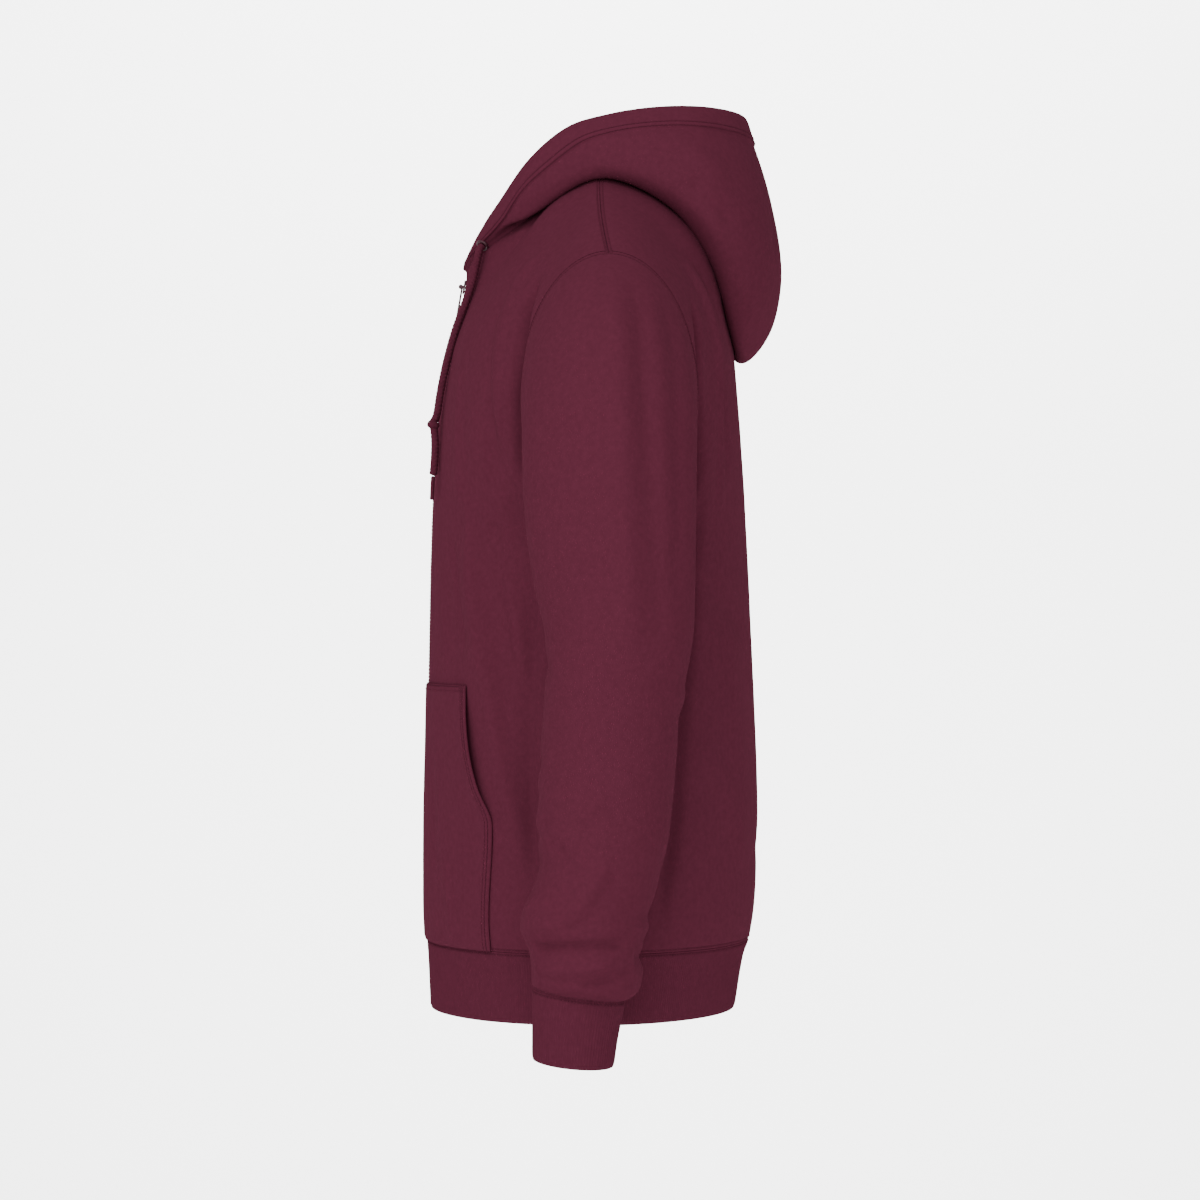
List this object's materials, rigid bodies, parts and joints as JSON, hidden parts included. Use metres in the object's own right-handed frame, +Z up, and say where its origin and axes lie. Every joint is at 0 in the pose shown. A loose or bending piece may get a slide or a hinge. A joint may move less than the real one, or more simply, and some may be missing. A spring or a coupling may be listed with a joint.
{
  "type": "zip-up hooded sweatshirt",
  "caption": "Hollow, worn-shape zip-up hooded sweatshirt with set-in sleeves, ribbed cuffs and hem, slanted front pockets, a lowered hood and a hanging drawstring.",
  "frame": {"origin": "middle of the neck base, level with the high points of the shoulders, where the wearer holds the garment up", "axes": "+Z up, the front faces -Y, the wearer's left is +X"},
  "size_m": [0.6982, 0.3133, 0.8008],
  "materials": {
    "fleece": "smooth cotton-blend jersey face, matt, with a soft nap",
    "rib": "fine rib knit, matt",
    "cord": "braided cotton cord",
    "cord_tip": "tightly bound cord end",
    "zip_tape": "woven polyester tape",
    "zip_teeth": "dyed to match, satin",
    "zip_metal": "satin enamel",
    "eyelet": "satin enamel"
  },
  "bodies": {
    "garment": {"front_left": "fleece", "front_right": "fleece", "back": "fleece", "sleeve_left": "fleece", "sleeve_right": "fleece", "hood_left": "fleece", "hood_right": "fleece", "pocket_left": "fleece", "pocket_right": "fleece", "cuff_left": "rib", "cuff_right": "rib", "hem_band": "rib", "zip_tape_left": "zip_tape", "zip_tape_right": "zip_tape", "zip_teeth": "zip_teeth", "zip_stop": "zip_metal", "zip_slider": "zip_metal", "eyelet_left": "eyelet", "eyelet_right": "eyelet", "drawstring_left": "cord", "drawstring_right": "cord", "knot_left": "cord", "knot_right": "cord", "drawstring_tail_left": "cord", "drawstring_tail_right": "cord", "cord_tip_left": "cord_tip", "cord_tip_right": "cord_tip"},
    "pull_tab": {"zip_pull": "zip_metal"}
  },
  "joints": [
    {"name": "pull_tab_swing", "type": "hinge", "parent": "garment", "child": "pull_tab", "pos_m": [0, -0.12184, -0.08976], "axis": [-1, 0, 0], "range_deg": [0, 150]}
  ]
}
